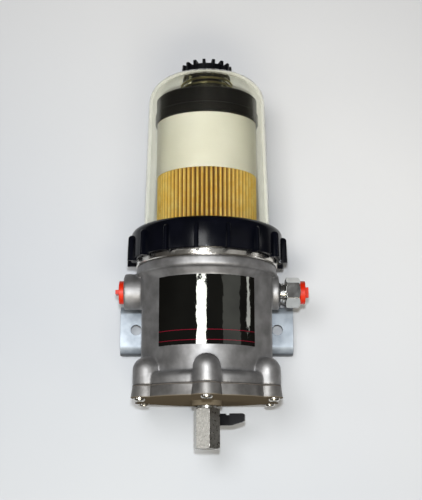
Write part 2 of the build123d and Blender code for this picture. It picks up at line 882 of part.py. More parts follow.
with BuildPart() as bottom_cover:
    with BuildSketch(level(gasket_z)):
        Circle(flange_r)
        with PolarLocations(boss_centre_r, boss_count, start_angle=polar(0)):
            Circle(boss_r)
    extrude(amount=-cover_plate_h, taper=-plate_draft)
    with BuildSketch(level(underside_z)):
        Circle(drain_boss_r)
    extrude(amount=-drain_boss_h)
    # Shallow sump inside and the drain hole
    with BuildSketch(level(gasket_z)):
        Circle(cavity_r - sump_margin)
    extrude(amount=-(cover_plate_h - sump_wall), taper=sump_draft, mode=Mode.SUBTRACT)
    with BuildSketch(level(drain_boss_z)):
        Circle(drain_neck_r)
    extrude(amount=drain_boss_h + cover_plate_h, mode=Mode.SUBTRACT)
    with BuildSketch(level(underside_z)):
        with PolarLocations(screw_centre_r, boss_count, start_angle=polar(0)):
            Circle(screw_hole_r)
    extrude(amount=cover_plate_h, mode=Mode.SUBTRACT)
bottom_cover.part.label = "bottom_cover"
export_step(bottom_cover.part, "parts/bottom_cover.step")

with BuildPart() as bottom_screws:
    with BuildSketch(level(underside_z - screw_head_h)):
        with PolarLocations(screw_centre_r, boss_count, start_angle=polar(0)):
            Circle(screw_head_d / 2)
    extrude(amount=screw_head_h)
    low_rims = bottom_screws.edges().filter_by(GeomType.CIRCLE).group_by(Axis.Z)[0]
    fillet(low_rims, radius=screw_round)
    with BuildSketch(level(underside_z)):
        with PolarLocations(screw_centre_r, boss_count, start_angle=polar(0)):
            Circle(screw_shank_r)
    extrude(amount=cover_plate_h + gasket_t + screw_grip)
    with BuildSketch(level(underside_z - screw_head_h)):
        with PolarLocations(screw_centre_r, boss_count, start_angle=polar(0)):
            RegularPolygon(screw_hex_af / 2, 6, major_radius=False)
    extrude(amount=screw_hex_depth, mode=Mode.SUBTRACT)
bottom_screws.part.label = "bottom_screws"
export_step(bottom_screws.part, "parts/bottom_screws.step")

# Drain valve

lever_a = radians(lever_axis_angle)
drain_center = (0, axis_y, drain_stem_z)
stem_dir = (sin(lever_a), -cos(lever_a), 0)

with BuildPart() as drain_body:
    with BuildSketch(level(drain_bottom_z)):
        RegularPolygon(hex_flat, 6, major_radius=False, rotation=polar(drain_phase))
    extrude(amount=drain_top_z - drain_bottom_z)
    # Both ends of the hex are turned down to a cone
    with BuildSketch(section):
        flat_in = hex_flat - drain_hex_chamfer
        rise = (drain_hex_af - flat_in) * hex_slope
        for end_z, sign in ((drain_bottom_z, 1), (drain_top_z, -1)):
            Polygon(
                (flat_in, end_z),
                (drain_hex_af, end_z),
                (drain_hex_af, end_z + sign * rise),
                align=None,
            )
    revolve(axis=housing_axis, mode=Mode.SUBTRACT)
    with BuildSketch(level(drain_top_z)):
        Circle(drain_neck_r)
    extrude(amount=underside_z + drain_neck_grip - drain_top_z)
    with BuildSketch(level(drain_bottom_z)):
        Circle(drain_bore_r)
    extrude(amount=underside_z + drain_neck_grip - drain_bottom_z, mode=Mode.SUBTRACT)
    with BuildSketch(level(drain_bottom_z)):
        Circle(drain_thread_r)
    extrude(amount=drain_thread_len, mode=Mode.SUBTRACT)
    with BuildSketch(level(drain_stem_z - drain_room_r)):
        Circle(drain_room_r)
    extrude(amount=2 * drain_room_r, mode=Mode.SUBTRACT)
    with BuildSketch(outward(lever_axis_angle, drain_stem_z, 0)):
        Circle(stem_r + seat_gap)
    extrude(amount=drain_hex_af, mode=Mode.SUBTRACT)
drain_body.part.label = "drain_body"
export_step(drain_body.part, "parts/drain_body.step")

with BuildPart() as drain_seats:
    for sign in (-1, 1):
        with BuildSketch(level(drain_stem_z + sign * drain_room_r)):
            Circle(drain_room_r - seat_gap)
            Circle(drain_bore_r, mode=Mode.SUBTRACT)
        extrude(amount=-sign * seat_h)
    with Locations(drain_center):
        Sphere(drain_ball_r + seat_gap, mode=Mode.SUBTRACT)
drain_seats.part.label = "drain_seats"
export_step(drain_seats.part, "parts/drain_seats.step")

# The ball's passage lies across the flow when the lever stands out sideways
cross_angle = lever_axis_angle - 90
with BuildPart() as drain_ball:
    with BuildSketch(spoke(lever_axis_angle, drain_stem_z)):
        Circle(drain_ball_r)
        with Locations((0, -drain_ball_r)):
            Rectangle(4 * drain_ball_r, 2 * drain_ball_r, mode=Mode.SUBTRACT)
    revolve(axis=Axis(drain_center, stem_dir))
    with BuildSketch(outward(cross_angle, drain_stem_z, -2 * drain_ball_r)):
        Circle(drain_bore_r)
    extrude(amount=4 * drain_ball_r, mode=Mode.SUBTRACT)
    with BuildSketch(outward(lever_axis_angle, drain_stem_z, tang_base - tang_play)):
        Rectangle(stem_r, 4 * stem_r)
    extrude(amount=2 * tang_h, mode=Mode.SUBTRACT)
drain_ball.part.label = "drain_ball"
export_step(drain_ball.part, "parts/drain_ball.step")

with BuildPart() as drain_stem:
    with BuildSketch(outward(lever_axis_angle, drain_stem_z, tang_base)):
        Circle(stem_r)
    extrude(amount=tang_h - tang_play)
    with BuildSketch(outward(lever_axis_angle, drain_stem_z, tang_base)):
        Rectangle(stem_r - tang_play, 4 * stem_r)
    extrude(amount=tang_h - tang_play, mode=Mode.INTERSECT)
    with BuildSketch(outward(lever_axis_angle, drain_stem_z, tang_base + tang_h - tang_play)):
        Circle(stem_r)
    extrude(amount=stem_end - tang_base - tang_h + tang_play)
drain_stem.part.label = "drain_stem"
export_step(drain_stem.part, "parts/drain_stem.step")

with BuildPart() as drain_lever:
    with BuildSketch(outward(lever_axis_angle, drain_stem_z, lever_base)) as lever_outline:
        Polygon(
            (lever_above, 0),
            (lever_above, lever_len),
            (lever_above - lever_tip_w, lever_len),
            (-lever_below, lever_slope_at),
            (-lever_below, 0),
            align=None,
        )
        fillet(lever_outline.vertices().group_by(Axis.Y)[-1], radius=lever_tip_r)
        Circle(lever_hub_r)
        with Locations((lever_above, lever_notch_at)):
            Rectangle(lever_notch_depth * 2, lever_notch_w, mode=Mode.SUBTRACT)
        Circle(stem_r, mode=Mode.SUBTRACT)
    extrude(amount=lever_t)
drain_lever.part.label = "drain_lever"
export_step(drain_lever.part, "parts/drain_lever.step")

with BuildPart() as drain_lever_nut:
    with BuildSketch(outward(lever_axis_angle, drain_stem_z, lever_base + lever_t)):
        RegularPolygon(lever_nut_af / 2, 6, major_radius=False)
        Circle(stem_r, mode=Mode.SUBTRACT)
    extrude(amount=lever_nut_t)
drain_lever_nut.part.label = "drain_lever_nut"
export_step(drain_lever_nut.part, "parts/drain_lever_nut.step")

# Inlet fitting with its check ball, spring and retainer

with BuildPart() as inlet_fitting:
    with BuildSketch(across(nipple_x, port_z)):
        Circle(inlet_thread_r)
    extrude(amount=fitting_nipple_len)
    with BuildSketch(across(inlet_face_x, port_z)):
        Circle(fitting_neck_r)
    extrude(amount=fitting_neck_len)
    with BuildSketch(across(hex_x - fitting_ring_w - fitting_ring_gap, port_z)):
        Circle(fitting_ring_r)
    extrude(amount=fitting_ring_w)
    with BuildSketch(across(hex_x, port_z)):
        RegularPolygon(hex_af / 2, 6, major_radius=False, rotation=90)
    extrude(amount=fitting_hex_len)
    with BuildSketch(Plane(origin=(0, axis_y, port_z), x_dir=(1, 0, 0), z_dir=(0, -1, 0))):
        hex_in = hex_af / 2 - hex_chamfer
        slope = (hex_af - hex_in) * hex_slope
        for end_x, sign in ((hex_x, 1), (fitting_end_x, -1)):
            Polygon((end_x, hex_in), (end_x, hex_af), (end_x + sign * slope, hex_af), align=None)
    revolve(axis=port_axis, mode=Mode.SUBTRACT)
    with BuildSketch(across(seat_x, port_z)):
        Circle(fitting_bore_r)
    extrude(amount=fitting_end_x - seat_x, mode=Mode.SUBTRACT)
    with BuildSketch(across(fitting_end_x, port_z)):
        Circle(fitting_mouth_r)
    extrude(amount=-fitting_mouth_len, mode=Mode.SUBTRACT)
    with BuildSketch(across(nipple_x, port_z)):
        Circle(chamber_r)
    extrude(amount=seat_x - nipple_x, mode=Mode.SUBTRACT)
inlet_fitting.part.label = "inlet_fitting"
export_step(inlet_fitting.part, "parts/inlet_fitting.step")

with BuildPart() as inlet_fitting_seal:
    with BuildSketch(across(inlet_face_x, port_z)):
        Circle(fitting_ring_r)
        Circle(fitting_neck_r, mode=Mode.SUBTRACT)
    extrude(amount=fitting_seal_t)
inlet_fitting_seal.part.label = "inlet_fitting_seal"
export_step(inlet_fitting_seal.part, "parts/inlet_fitting_seal.step")

with BuildPart() as check_ball:
    with Locations((ball_x, axis_y, port_z)):
        Sphere(ball_r)
check_ball.part.label = "check_ball"
export_step(check_ball.part, "parts/check_ball.step")

with BuildPart() as check_retainer:
    with BuildSketch(across(nipple_x, port_z)):
        Circle(chamber_r)
        Circle(retainer_hole_r, mode=Mode.SUBTRACT)
    extrude(amount=retainer_t)
check_retainer.part.label = "check_retainer"
export_step(check_retainer.part, "parts/check_retainer.step")

with BuildPart() as check_spring:
    check_low_x = nipple_x + retainer_t + check_wire / 2 + check_gap
    ball_touch = sqrt((ball_r + check_wire / 2 + check_gap) ** 2 - check_spring_r ** 2)
    check_h = ball_x - ball_touch - check_low_x
    with BuildLine(across(check_low_x, port_z)) as check_path:
        Helix(pitch=check_h / check_spring_turns, height=check_h, radius=check_spring_r, direction=(1, 0, 0))
    with BuildSketch(Plane(origin=check_path.line @ 0, z_dir=check_path.line % 0)):
        Circle(check_wire / 2)
    sweep(path=check_path.line, is_frenet=True)
check_spring.part.label = "check_spring"
export_step(check_spring.part, "parts/check_spring.step")


# Moulded plugs in both ports: a flange, a hollow stem and a pull tab

with BuildPart() as outlet_plug:
    flange_x = outlet_face_x - plug_gap
    with BuildSketch(across(flange_x - plug_flange_t, port_z)):
        Circle(plug_flange_r)
    extrude(amount=plug_flange_t)
    with BuildSketch(across(flange_x - plug_flange_t - plug_tab_len, port_z)):
        Rectangle(plug_tab_w, plug_tab_t)
    extrude(amount=plug_tab_len)
    with BuildSketch(across(flange_x, port_z)):
        Circle(outlet_thread_r - plug_fit)
        Circle(outlet_thread_r - plug_fit - plug_wall, mode=Mode.SUBTRACT)
    extrude(amount=plug_stem_len)
outlet_plug.part.label = "outlet_plug"
export_step(outlet_plug.part, "parts/outlet_plug.step")

with BuildPart() as inlet_plug:
    flange_x = fitting_end_x + plug_gap
    with BuildSketch(across(flange_x, port_z)):
        Circle(plug_flange_r)
    extrude(amount=plug_flange_t)
    with BuildSketch(across(flange_x + plug_flange_t, port_z)):
        Rectangle(plug_tab_t, plug_tab_w)
    extrude(amount=plug_tab_len)
    with BuildSketch(across(flange_x - plug_stem_len, port_z)):
        Circle(fitting_mouth_r - plug_fit)
        Circle(fitting_mouth_r - plug_fit - plug_wall, mode=Mode.SUBTRACT)
    extrude(amount=plug_stem_len)
inlet_plug.part.label = "inlet_plug"
export_step(inlet_plug.part, "parts/inlet_plug.step")

# Mounting bracket, its bolts and washers

with BuildPart() as mounting_bracket:
    half_flat = bracket_flat_h / 2
    half_h = half_flat + bracket_bend_r
    inner_r = bracket_bend_r - plate_t
    wall_y = bracket_depth - plate_t
    with BuildSketch(Plane.YZ.offset(-bracket_len / 2)):
        with BuildLine():
            Line((-plate_t, -half_flat), (-plate_t, half_flat))
            CenterArc((inner_r, half_flat), bracket_bend_r, 90, 90)
            Line((inner_r, half_h), (wall_y, half_h))
            Line((wall_y, half_h), (wall_y, half_h - plate_t))
            Line((wall_y, half_h - plate_t), (inner_r, half_h - plate_t))
            CenterArc((inner_r, half_flat), inner_r, 90, 90)
            Line((0, half_flat), (0, -half_flat))
            CenterArc((inner_r, -half_flat), inner_r, 180, 90)
            Line((inner_r, plate_t - half_h), (wall_y, plate_t - half_h))
            Line((wall_y, plate_t - half_h), (wall_y, -half_h))
            Line((wall_y, -half_h), (inner_r, -half_h))
            CenterArc((inner_r, -half_flat), bracket_bend_r, 180, 90)
        make_face()
    extrude(amount=bracket_len)
    ends = mounting_bracket.edges().filter_by(Axis.Z).group_by(Axis.Y)[-1]
    fillet(ends, radius=bracket_corner_r)
    with BuildSketch(Plane.XZ.offset(-1)):
        with GridLocations(mount_spacing, 1, 2, 1):
            Circle(mount_hole_d / 2)
        with GridLocations(pad_bolt_dx, pad_bolt_dz, 2, 2):
            Circle(bolt_hole_r)
    extrude(amount=plate_t + 2, mode=Mode.SUBTRACT)
mounting_bracket.part.label = "mounting_bracket"
export_step(mounting_bracket.part, "parts/mounting_bracket.step")

with BuildPart() as bracket_washers:
    with BuildSketch(Plane.XZ):
        with GridLocations(pad_bolt_dx, pad_bolt_dz, 2, 2):
            Circle(washer_r)
            Circle(bolt_hole_r, mode=Mode.SUBTRACT)
    extrude(amount=-washer_t)
bracket_washers.part.label = "bracket_washers"
export_step(bracket_washers.part, "parts/bracket_washers.step")

with BuildPart() as bracket_bolts:
    with BuildSketch(Plane.XZ.offset(-washer_t)):
        with GridLocations(pad_bolt_dx, pad_bolt_dz, 2, 2):
            RegularPolygon(bolt_head_af / 2, 6, major_radius=False)
    extrude(amount=-bolt_head_h)
    with BuildSketch(Plane.XZ.offset(-washer_t)):
        with GridLocations(pad_bolt_dx, pad_bolt_dz, 2, 2):
            Circle(bolt_d / 2 - shank_play)
    extrude(amount=washer_t + plate_t + bolt_grip - 1)
bracket_bolts.part.label = "bracket_bolts"
export_step(bracket_bolts.part, "parts/bracket_bolts.step")
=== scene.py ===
import math

import bpy
from mathutils import Matrix, Vector


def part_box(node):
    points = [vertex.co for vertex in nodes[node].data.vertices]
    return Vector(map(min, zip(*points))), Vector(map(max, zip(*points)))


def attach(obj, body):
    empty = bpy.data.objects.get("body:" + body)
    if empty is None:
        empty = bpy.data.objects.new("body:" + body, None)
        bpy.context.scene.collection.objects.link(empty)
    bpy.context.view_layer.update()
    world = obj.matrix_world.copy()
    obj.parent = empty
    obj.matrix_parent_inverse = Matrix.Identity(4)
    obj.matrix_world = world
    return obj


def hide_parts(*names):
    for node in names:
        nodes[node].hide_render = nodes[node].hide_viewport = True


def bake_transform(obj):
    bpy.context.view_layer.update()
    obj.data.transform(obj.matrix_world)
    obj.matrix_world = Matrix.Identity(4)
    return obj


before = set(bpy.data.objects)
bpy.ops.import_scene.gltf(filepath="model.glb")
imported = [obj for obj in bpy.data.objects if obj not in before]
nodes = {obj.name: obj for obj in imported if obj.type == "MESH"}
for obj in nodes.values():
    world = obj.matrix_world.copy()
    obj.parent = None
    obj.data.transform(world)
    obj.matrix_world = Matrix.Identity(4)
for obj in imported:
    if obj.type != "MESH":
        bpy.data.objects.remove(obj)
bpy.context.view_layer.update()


# Mounting bracket: a channel folded from 3 mm sheet steel and zinc plated, open towards the wall.
# Two large holes take the wall bolts and four small ones the bolts that hold the casting.

def paint(red, green, blue):
    """A colour given on a 0 to 255 scale, as the shader wants it."""
    linear = []
    for shade in (red, green, blue):
        part = shade / 255
        linear.append(part / 12.92 if shade < 11 else ((part + 0.055) / 1.055) ** 2.4)
    return (*linear, 1.0)


def mottle(tree, place, size, dark, light):
    """Colour that wanders between dark and light in patches about size metres across."""
    spread = 0.18
    noise = tree.nodes.new("ShaderNodeTexNoise")
    noise.inputs["Scale"].default_value = 1.0 / size
    noise.inputs["Detail"].default_value = 4.0
    tree.links.new(place, noise.inputs["Vector"])
    ramp = tree.nodes.new("ShaderNodeValToRGB")
    ramp.color_ramp.elements[0].position = 0.5 - spread
    ramp.color_ramp.elements[0].color = dark
    ramp.color_ramp.elements[1].position = 0.5 + spread
    ramp.color_ramp.elements[1].color = light
    tree.links.new(noise.outputs["Fac"], ramp.inputs["Fac"])
    return ramp.outputs["Color"]


def relief(tree, place, size, depth, stretch):
    """Bump of a grain about size metres across and depth metres deep, drawn out by stretch."""
    mapping = tree.nodes.new("ShaderNodeMapping")
    mapping.inputs["Scale"].default_value = stretch
    tree.links.new(place, mapping.inputs["Vector"])
    noise = tree.nodes.new("ShaderNodeTexNoise")
    noise.inputs["Scale"].default_value = 1.0 / size
    noise.inputs["Detail"].default_value = 3.0
    tree.links.new(mapping.outputs["Vector"], noise.inputs["Vector"])
    bump = tree.nodes.new("ShaderNodeBump")
    bump.inputs["Strength"].default_value = 1.0
    bump.inputs["Distance"].default_value = depth
    tree.links.new(noise.outputs["Fac"], bump.inputs["Height"])
    return bump.outputs["Normal"]


def finish(
    name, dark, light, patch, rough, grain, depth, metallic=0.0, specular=0.5, stretch=(1.0, 1.0, 1.0),
):
    """A surface with patches between two colours, roughness between two values and a fine grain.
    Patch, grain and depth are in metres."""
    material = bpy.data.materials.new(name)
    material.use_nodes = True
    tree = material.node_tree
    shader = tree.nodes["Principled BSDF"]
    shader.inputs["Metallic"].default_value = metallic
    shader.inputs["Specular IOR Level"].default_value = specular
    place = tree.nodes.new("ShaderNodeTexCoord").outputs["Object"]
    tree.links.new(mottle(tree, place, patch, dark, light), shader.inputs["Base Color"])
    worn = tree.nodes.new("ShaderNodeTexNoise")
    worn.inputs["Scale"].default_value = 0.7 / patch
    worn.inputs["Detail"].default_value = 5.0
    tree.links.new(place, worn.inputs["Vector"])
    span = tree.nodes.new("ShaderNodeMapRange")
    span.inputs["From Min"].default_value = 0.3
    span.inputs["From Max"].default_value = 0.7
    span.inputs["To Min"].default_value = rough[0]
    span.inputs["To Max"].default_value = rough[1]
    tree.links.new(worn.outputs["Fac"], span.inputs["Value"])
    tree.links.new(span.outputs["Result"], shader.inputs["Roughness"])
    tree.links.new(relief(tree, place, grain, depth, stretch), shader.inputs["Normal"])
    return material


def insides(material):
    """The node tree of a finish, its shader and its object coordinates."""
    tree = material.node_tree
    return tree, tree.nodes["Principled BSDF"], tree.nodes["Texture Coordinate"].outputs["Object"]


def grade(tree, place, along, low, high):
    """A value that goes from 0 to 1 along a direction, between two distances from the origin."""
    reach = tree.nodes.new("ShaderNodeVectorMath")
    reach.operation = "DOT_PRODUCT"
    reach.inputs[1].default_value = along
    tree.links.new(place, reach.inputs[0])
    span = tree.nodes.new("ShaderNodeMapRange")
    span.inputs["From Min"].default_value = low
    span.inputs["From Max"].default_value = high
    tree.links.new(reach.outputs["Value"], span.inputs["Value"])
    return span.outputs["Result"]


def lay_over(tree, shader, share, colour):
    """Lays another colour over a surface's own, by a share between 0 and 1."""
    own = shader.inputs["Base Color"].links[0].from_socket
    mix = tree.nodes.new("ShaderNodeMix")
    mix.data_type = "RGBA"
    tree.links.new(share, mix.inputs["Factor"])
    tree.links.new(own, mix.inputs["A"])
    mix.inputs["B"].default_value = colour
    tree.links.new(mix.outputs["Result"], shader.inputs["Base Color"])


def only(piece):
    """Selects one object alone and makes it active."""
    for other in bpy.context.selected_objects:
        other.select_set(False)
    piece.select_set(True)
    bpy.context.view_layer.objects.active = piece


def copy_of(node, name):
    """A separate mesh copy of a CAD node, its loose triangles merged."""
    piece = nodes[node].copy()
    piece.data = nodes[node].data.copy()
    for key in list(piece.keys()):
        del piece[key]
    piece.name = name
    piece.parent = None
    bpy.context.scene.collection.objects.link(piece)
    only(piece)
    bpy.ops.object.mode_set(mode="EDIT")
    bpy.ops.mesh.select_all(action="SELECT")
    bpy.ops.mesh.remove_doubles(threshold=1e-6)
    bpy.ops.mesh.customdata_custom_splitnormals_clear()
    bpy.ops.object.mode_set(mode="OBJECT")
    return piece


def apply_modifier(piece, kind, **values):
    """Adds a modifier with the given values and applies it."""
    only(piece)
    modifier = piece.modifiers.new(kind.lower(), kind)
    for key, value in values.items():
        setattr(modifier, key, value)
    bpy.ops.object.modifier_apply(modifier=modifier.name)


def eased(node, name, width, segments):
    """A copy of a CAD node with its flat faces made whole and its sharp edges rounded."""
    piece = copy_of(node, name)
    bpy.ops.object.mode_set(mode="EDIT")
    bpy.ops.mesh.select_all(action="SELECT")
    bpy.ops.mesh.dissolve_limited(angle_limit=math.radians(1.0))
    bpy.ops.object.mode_set(mode="OBJECT")
    bpy.ops.object.shade_smooth_by_angle(angle=math.radians(25))
    apply_modifier(
        piece, "BEVEL", width=width, segments=segments, limit_method="ANGLE", angle_limit=math.radians(40),
        harden_normals=True,
    )
    return piece


def wear(piece, material):
    """Gives a new piece one material."""
    piece.data.materials.clear()
    piece.data.materials.append(material)


zinc = finish(
    "zinc_plate", dark=paint(132, 140, 149), light=paint(154, 162, 170), patch=0.009, rough=(0.44, 0.54),
    grain=0.0010, depth=0.00001, metallic=0.4, stretch=(0.25, 1.0, 1.0),
)
# Painted shade: the bend of the lower lip turns away from the light, so it is painted darker from here down
down = (0.0, 0.0, -1.0)
lip_bend_start = 0.0222
lip_bend_full = 0.0242
tree, shader, place = insides(zinc)
lip_painted_shade = grade(tree, place, down, lip_bend_start, lip_bend_full)
lay_over(tree, shader, lip_painted_shade, paint(70, 75, 80))

bracket = eased("mounting_bracket", "bracket_channel", width=0.0005, segments=2)
wear(bracket, zinc)
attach(bracket, "housing")
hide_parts("mounting_bracket")


# Bracket bolts and washers: four hexagon-head steel bolts behind the plate, in the same zinc
# plate but brighter where a spanner has been. They draw the casting's pad onto the bracket.

def dress(material, *names):
    """Gives CAD nodes a material."""
    for name in names:
        slots = nodes[name].data.materials
        slots.clear()
        slots.append(material)


zinc_bolt = finish(
    "zinc_bolt", dark=paint(150, 152, 150), light=paint(196, 198, 196), patch=0.003, rough=(0.25, 0.4),
    grain=0.0006, depth=0.00002, metallic=0.9,
)
dress(zinc_bolt, "bracket_bolts", "bracket_washers")


# Housing casting: sand-blasted die-cast aluminium with soft edges and fillets. Above its ring
# stands a neck that is turned bright on a lathe and takes the collar's thread.

cast = finish(
    "cast_aluminium", dark=paint(128, 127, 127), light=paint(158, 157, 157), patch=0.012, rough=(0.49, 0.59),
    grain=0.0006, depth=0.00004, metallic=0.92,
)
turned = finish(
    "turned_aluminium", dark=paint(196, 192, 184), light=paint(222, 219, 212), patch=0.010,
    rough=(0.16, 0.26), grain=0.0013, depth=0.00003, metallic=1.0, stretch=(0.01, 0.01, 1.0),
)


def cut_at(piece, height, keep_below):
    """Cuts a closed piece level at a height and closes the cut."""
    only(piece)
    bpy.ops.object.mode_set(mode="EDIT")
    bpy.ops.mesh.select_all(action="SELECT")
    bpy.ops.mesh.bisect(
        plane_co=(0.0, 0.0, height), plane_no=(0.0, 0.0, 1.0),
        use_fill=True, clear_outer=keep_below, clear_inner=not keep_below,
    )
    bpy.ops.object.mode_set(mode="OBJECT")


# Height at which the blasted surface ends and the turned one starts
ring_top = 0.0499
casting = copy_of("housing_body", "housing_casting")
cut_at(casting, ring_top, keep_below=True)
apply_modifier(casting, "REMESH", mode="VOXEL", voxel_size=0.001, adaptivity=0.0)
apply_modifier(casting, "SMOOTH", factor=0.5, iterations=7)
apply_modifier(casting, "DECIMATE", ratio=0.55)
only(casting)
bpy.ops.object.shade_smooth()
wear(casting, cast)
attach(casting, "housing")

neck = copy_of("housing_body", "housing_neck")
cut_at(neck, ring_top, keep_below=False)
only(neck)
bpy.ops.object.shade_smooth_by_angle(angle=math.radians(30))
wear(neck, turned)
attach(neck, "housing")
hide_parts("housing_body")
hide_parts("housing_body")


# Foil label: thin dark mirror film, stuck round the front of the casting between its flanks and
# bare but for two fine red lines near its lower edge. It doesn't lie quite flat.

foil = finish(
    "dark_foil", dark=paint(78, 79, 76), light=paint(92, 93, 88), patch=0.030, rough=(0.03, 0.06),
    grain=0.016, depth=0.00042, metallic=1.0, stretch=(1.0, 1.0, 0.6),
)
# Where each line starts (1) and ends (0), as a share of the label's height from its lower edge
line_edges = ((0.0, 0), (0.055, 1), (0.066, 0), (0.200, 1), (0.208, 0))
tree, shader, place = insides(foil)
foil_low, foil_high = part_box("body_label")
foil_height = grade(tree, place, (0.0, 0.0, 1.0), foil_low.z, foil_high.z)
foil_lines = tree.nodes.new("ShaderNodeValToRGB")
tree.links.new(foil_height, foil_lines.inputs["Fac"])
foil_lines.color_ramp.interpolation = "CONSTANT"
while len(foil_lines.color_ramp.elements) < len(line_edges):
    foil_lines.color_ramp.elements.new(0.9)
for element, (edge, inked) in zip(foil_lines.color_ramp.elements, line_edges):
    element.position = edge
    element.color = (inked, inked, inked, 1.0)
lay_over(tree, shader, foil_lines.outputs["Color"], paint(112, 10, 34))
foil_bare = tree.nodes.new("ShaderNodeMath")
foil_bare.operation = "SUBTRACT"
foil_bare.inputs[0].default_value = 1.0
tree.links.new(foil_lines.outputs["Color"], foil_bare.inputs[1])
tree.links.new(foil_bare.outputs["Value"], shader.inputs["Metallic"])
dress(foil, "body_label")


# Bottom cover: a die-cast plate with a sump and a boss for the drain valve, screwed up against
# the casting's foot. Its underside turns to a matt brown: partly a brown film, partly painted shade.

cast_plate = finish(
    "cast_plate", dark=paint(116, 114, 112), light=paint(146, 144, 142), patch=0.010, rough=(0.46, 0.56),
    grain=0.0006, depth=0.00004, metallic=0.9,
)
# Depths below the bracket's holes between which the brown film and painted shade take over from the bare
# casting
film_and_shade_start = 0.0745
film_and_shade_full = 0.0757
tree, shader, place = insides(cast_plate)
# Painted shade: the underside's bare metal gives way to a darker matt brown, as it faces away from the light
brown_film_and_shade = tree.nodes.new("ShaderNodeBsdfDiffuse")
brown_film_and_shade.inputs["Color"].default_value = paint(112, 102, 86)
underside_film_and_shade = tree.nodes.new("ShaderNodeMixShader")
tree.links.new(grade(tree, place, down, film_and_shade_start, film_and_shade_full), underside_film_and_shade.inputs["Fac"])
tree.links.new(shader.outputs["BSDF"], underside_film_and_shade.inputs[1])
tree.links.new(brown_film_and_shade.outputs["BSDF"], underside_film_and_shade.inputs[2])
tree.links.new(underside_film_and_shade.outputs["Shader"], tree.nodes["Material Output"].inputs["Surface"])

bottom_plate = eased("bottom_cover", "bottom_plate", width=0.0010, segments=3)
wear(bottom_plate, cast_plate)
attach(bottom_plate, "housing")
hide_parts("bottom_cover")


# Bottom gasket and screws: a fibre gasket in the parting line, squeezed by six button-head
# screws of bright steel that pass through the cover into the casting's bosses.

fibre = finish(
    "fibre_gasket", dark=paint(78, 72, 66), light=paint(98, 92, 86), patch=0.002, rough=(0.7, 0.85),
    grain=0.0004, depth=0.00005,
)
dress(fibre, "bottom_gasket")
bright_steel = finish(
    "bright_screw", dark=paint(186, 182, 172), light=paint(224, 221, 214), patch=0.002, rough=(0.16, 0.3),
    grain=0.0004, depth=0.00001, metallic=1.0,
)
dress(bright_steel, "bottom_screws")


# Drain valve body: hexagon bar of plated steel, turned down at both ends, bored through and
# screwed into the boss of the bottom cover.

hexagon_bar = finish(
    "hexagon_bar", dark=paint(158, 156, 150), light=paint(190, 188, 182), patch=0.0016, rough=(0.24, 0.4),
    grain=0.0004, depth=0.000012, metallic=1.0, stretch=(1.0, 1.0, 0.15),
)
drain_hexagon = eased("drain_body", "drain_hexagon", width=0.0004, segments=2)
wear(drain_hexagon, hexagon_bar)
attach(drain_hexagon, "housing")
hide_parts("drain_body")


# Drain ball, stem and seats: a polished steel ball between two soft plastic seats, turned by a
# steel stem that comes out at the side of the hexagon.

soft_seat = finish(
    "soft_seat", dark=paint(214, 212, 204), light=paint(232, 230, 224), patch=0.002, rough=(0.35, 0.5),
    grain=0.0005, depth=0.00001,
)
dress(soft_seat, "drain_seats")
polished_steel = finish(
    "polished_steel", dark=paint(190, 190, 188), light=paint(222, 222, 220), patch=0.003, rough=(0.06, 0.14),
    grain=0.0006, depth=0.000005, metallic=1.0,
)
dress(polished_steel, "drain_ball", "drain_stem")


# Drain lever: a black nylon moulding with rounded edges, put on the end of the stem and held
# there by a small hexagon nut.

black_nylon = finish(
    "black_nylon", dark=paint(4, 4, 7), light=paint(9, 9, 13), patch=0.010, rough=(0.26, 0.38),
    grain=0.0007, depth=0.00003, specular=0.3,
)
drain_lever = eased("drain_lever", "drain_lever_moulded", width=0.0006, segments=3)
wear(drain_lever, black_nylon)
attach(drain_lever, "drain_valve")
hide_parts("drain_lever")
dress(hexagon_bar, "drain_lever_nut")


# Inlet fitting: a nickel-plated hexagon adapter, screwed into the right port boss against a
# black rubber sealing ring.

nickel = finish(
    "nickel_plate", dark=paint(188, 189, 186), light=paint(206, 207, 204), patch=0.006, rough=(0.10, 0.16),
    grain=0.0010, depth=0.000002, metallic=1.0,
)
inlet_adapter = eased("inlet_fitting", "inlet_adapter", width=0.0004, segments=2)
wear(inlet_adapter, nickel)
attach(inlet_adapter, "housing")
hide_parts("inlet_fitting")
rubber = finish(
    "black_rubber", dark=paint(16, 16, 17), light=paint(28, 28, 30), patch=0.004, rough=(0.5, 0.7),
    grain=0.0005, depth=0.00003,
)
dress(rubber, "inlet_fitting_seal")


# Check valve inside the fitting: a polished ball that a light coil of round steel wire holds on
# its seat, behind a pressed and plated retainer.

def wind(name, node, wire_r, turns, level):
    """Round wire wound with flat ends inside a node's box, upright or level along X."""
    low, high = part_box(node)
    middle = (low + high) / 2
    coil_low, coil_high = (low.x, high.x) if level else (low.z, high.z)
    coil_r = (high.y - low.y) / 2 - wire_r
    climb = coil_high - coil_low - 2 * wire_r
    flat_turns = 0.6
    points_per_turn = 32
    wire_fit = 0.98
    line = bpy.data.curves.new(name, "CURVE")
    line.dimensions = "3D"
    line.bevel_depth = wire_r * wire_fit
    line.bevel_resolution = 4
    line.use_fill_caps = True
    spline = line.splines.new("POLY")
    spline.points.add(int(turns * points_per_turn))
    for k, point in enumerate(spline.points):
        turn = k / points_per_turn
        share = min(max((turn - flat_turns) / (turns - 2 * flat_turns), 0.0), 1.0)
        reach = coil_low + wire_r + climb * share
        side = coil_r * math.cos(2 * math.pi * turn)
        front = coil_r * math.sin(2 * math.pi * turn)
        if level:
            point.co = (reach, middle.y + side, middle.z + front, 1.0)
        else:
            point.co = (middle.x + side, middle.y + front, reach, 1.0)
    piece = bpy.data.objects.new(name, line)
    bpy.context.scene.collection.objects.link(piece)
    only(piece)
    bpy.ops.object.convert(target="MESH")
    bpy.ops.object.shade_smooth()
    return bpy.context.object


